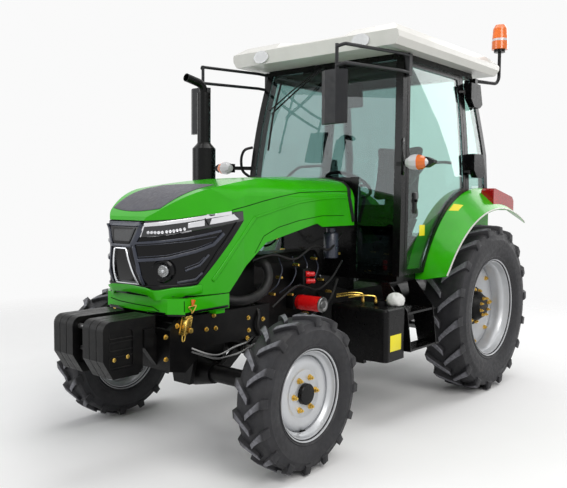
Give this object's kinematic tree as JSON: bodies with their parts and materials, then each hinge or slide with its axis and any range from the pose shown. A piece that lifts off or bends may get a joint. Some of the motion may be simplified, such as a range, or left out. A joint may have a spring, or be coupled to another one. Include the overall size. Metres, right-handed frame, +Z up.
{
  "type": "farm tractor",
  "caption": "Four-wheel-drive farm tractor with a glazed cab, tilting bonnet, opening doors, steered front wheels, front weights and a rear three-point hitch.",
  "frame": {"origin": "on the ground, at mid length and mid width", "axes": "+X forward in the direction of travel, +Y to the driver's left, +Z up"},
  "size_m": [4.105, 1.984, 2.931],
  "materials": {
    "green_paint": "gloss",
    "white_paint": "gloss",
    "black_paint": "satin",
    "silver_paint": "satin",
    "cast_black": "satin",
    "steel": "satin",
    "tyre": "matte",
    "rubber": "matte",
    "black_plastic": "matte",
    "grey_plastic": "matte",
    "glass": "gloss",
    "clear_lamp": "gloss",
    "red_lamp": "gloss",
    "amber_lamp": "gloss",
    "seat_fabric": "matte"
  },
  "bodies": {
    "chassis": {"front_frame": "cast_black", "front_weights": "cast_black", "front_axle_beam": "cast_black", "engine_block": "cast_black", "radiator": "black_paint", "radiator_hose": "rubber", "engine_filters": "red_lamp", "transmission_case": "cast_black", "rear_axle_housing": "cast_black", "fuel_tank": "black_plastic", "battery_box": "black_plastic", "cab_steps": "black_paint", "exhaust_stack": "black_paint", "bumper_band": "green_paint", "cab_floor": "black_paint", "firewall": "black_paint", "cab_frame": "black_paint", "windscreen": "glass", "rear_windows": "glass", "roof": "white_paint", "work_lamps": "clear_lamp", "lamp_housings": "black_plastic", "beacon": "amber_lamp", "beacon_stalk": "black_paint", "mirrors": "grey_plastic", "fenders": "green_paint", "tail_lamps": "red_lamp", "dash_console": "grey_plastic", "side_console": "grey_plastic", "seat_base": "black_plastic", "seat_cushions": "seat_fabric", "hitch_frame": "cast_black", "drawbar": "steel", "power_takeoff": "steel", "top_link": "steel"},
    "fan": {"cooling_fan": "black_plastic"},
    "steering_rod": {"steering_rod": "steel"},
    "knuckle_left": {"knuckle_left": "cast_black"},
    "knuckle_right": {"knuckle_right": "cast_black"},
    "front_wheel_left": {"front_tyre_left": "tyre", "front_rim_left": "silver_paint"},
    "front_wheel_right": {"front_tyre_right": "tyre", "front_rim_right": "silver_paint"},
    "rear_wheel_left": {"rear_tyre_left": "tyre", "rear_rim_left": "silver_paint"},
    "rear_wheel_right": {"rear_tyre_right": "tyre", "rear_rim_right": "silver_paint"},
    "steering_wheel": {"steering_wheel": "black_plastic"},
    "door_left": {"door_left": "black_paint", "door_glass_left": "glass"},
    "door_right": {"door_right": "black_paint", "door_glass_right": "glass"},
    "bonnet": {"bonnet_panels": "green_paint", "grille": "black_plastic", "headlights": "clear_lamp"},
    "lower_link_left": {"lower_link_left": "cast_black"},
    "lower_link_right": {"lower_link_right": "cast_black"},
    "lift_arms": {"lift_arms": "cast_black"},
    "lift_rods": {"lift_rods": "cast_black"}
  },
  "joints": [
    {"name": "steer_left", "type": "hinge", "parent": "chassis", "child": "knuckle_left", "pos_m": [1.1975, 0.6, 0.432], "axis": [0, 0, 1], "range_deg": [-40, 40]},
    {"name": "steer_right", "type": "hinge", "parent": "chassis", "child": "knuckle_right", "pos_m": [1.1975, -0.6, 0.432], "axis": [0, 0, 1], "range_deg": [-40, 40]},
    {"name": "steering_rod_slide", "type": "slide", "parent": "chassis", "child": "steering_rod", "axis": [0, 1, 0], "range_m": [-0.12313, 0.12313]},
    {"name": "front_wheel_left_spin", "type": "hinge", "parent": "knuckle_left", "child": "front_wheel_left", "pos_m": [1.1975, 0.796, 0.432], "axis": [0, 1, 0], "continuous": true},
    {"name": "front_wheel_right_spin", "type": "hinge", "parent": "knuckle_right", "child": "front_wheel_right", "pos_m": [1.1975, -0.796, 0.432], "axis": [0, 1, 0], "continuous": true},
    {"name": "rear_wheel_left_spin", "type": "hinge", "parent": "chassis", "child": "rear_wheel_left", "pos_m": [-1.1025, 0.757, 0.645], "axis": [0, 1, 0], "continuous": true},
    {"name": "rear_wheel_right_spin", "type": "hinge", "parent": "chassis", "child": "rear_wheel_right", "pos_m": [-1.1025, -0.757, 0.645], "axis": [0, 1, 0], "continuous": true},
    {"name": "fan_spin", "type": "hinge", "parent": "chassis", "child": "fan", "pos_m": [1.1975, 0, 1.05], "axis": [1, 0, 0], "continuous": true},
    {"name": "steering_wheel_turn", "type": "hinge", "parent": "chassis", "child": "steering_wheel", "pos_m": [-0.3725, 0, 1.59], "axis": [-0.5, 0, 0.866], "continuous": true},
    {"name": "door_left_hinge", "type": "hinge", "parent": "chassis", "child": "door_left", "pos_m": [-0.9875, 0.724, 1.6], "axis": [0, -0.0859, 0.9963], "range_deg": [0, 75]},
    {"name": "door_right_hinge", "type": "hinge", "parent": "chassis", "child": "door_right", "pos_m": [-0.9875, -0.724, 1.6], "axis": [0, -0.0859, -0.9963], "range_deg": [0, 75]},
    {"name": "bonnet_hinge", "type": "hinge", "parent": "chassis", "child": "bonnet", "pos_m": [0.0295, 0, 1.59], "axis": [0, -1, 0], "range_deg": [0, 50]},
    {"name": "lower_link_left_lift", "type": "hinge", "parent": "chassis", "child": "lower_link_left", "pos_m": [-1.2025, 0.252, 0.405], "axis": [0, 1, 0], "range_deg": [-10, 30]},
    {"name": "lower_link_right_lift", "type": "hinge", "parent": "chassis", "child": "lower_link_right", "pos_m": [-1.2025, -0.252, 0.405], "axis": [0, 1, 0], "range_deg": [-10, 30]},
    {"name": "lift_arms_turn", "type": "hinge", "parent": "chassis", "child": "lift_arms", "pos_m": [-1.4025, 0, 0.93], "axis": [0, 1, 0], "range_deg": [-17.17, 50.5]},
    {"name": "lift_rods_swing", "type": "hinge", "parent": "lift_arms", "child": "lift_rods", "pos_m": [-1.7025, 0, 0.93], "axis": [0, 1, 0], "range_deg": [-46.3, 15.77]}
  ],
  "couplings": [
    {"joint": "steer_right", "follows": "steer_left", "ratio": 1},
    {"joint": "steering_rod_slide", "follows": "steer_left", "m_per_rad": -0.17494},
    {"joint": "lower_link_right_lift", "follows": "lower_link_left_lift", "ratio": 1},
    {"joint": "lift_arms_turn", "follows": "lower_link_left_lift", "ratio": 1.6667},
    {"joint": "lift_rods_swing", "follows": "lower_link_left_lift", "ratio": -1.5267}
  ]
}
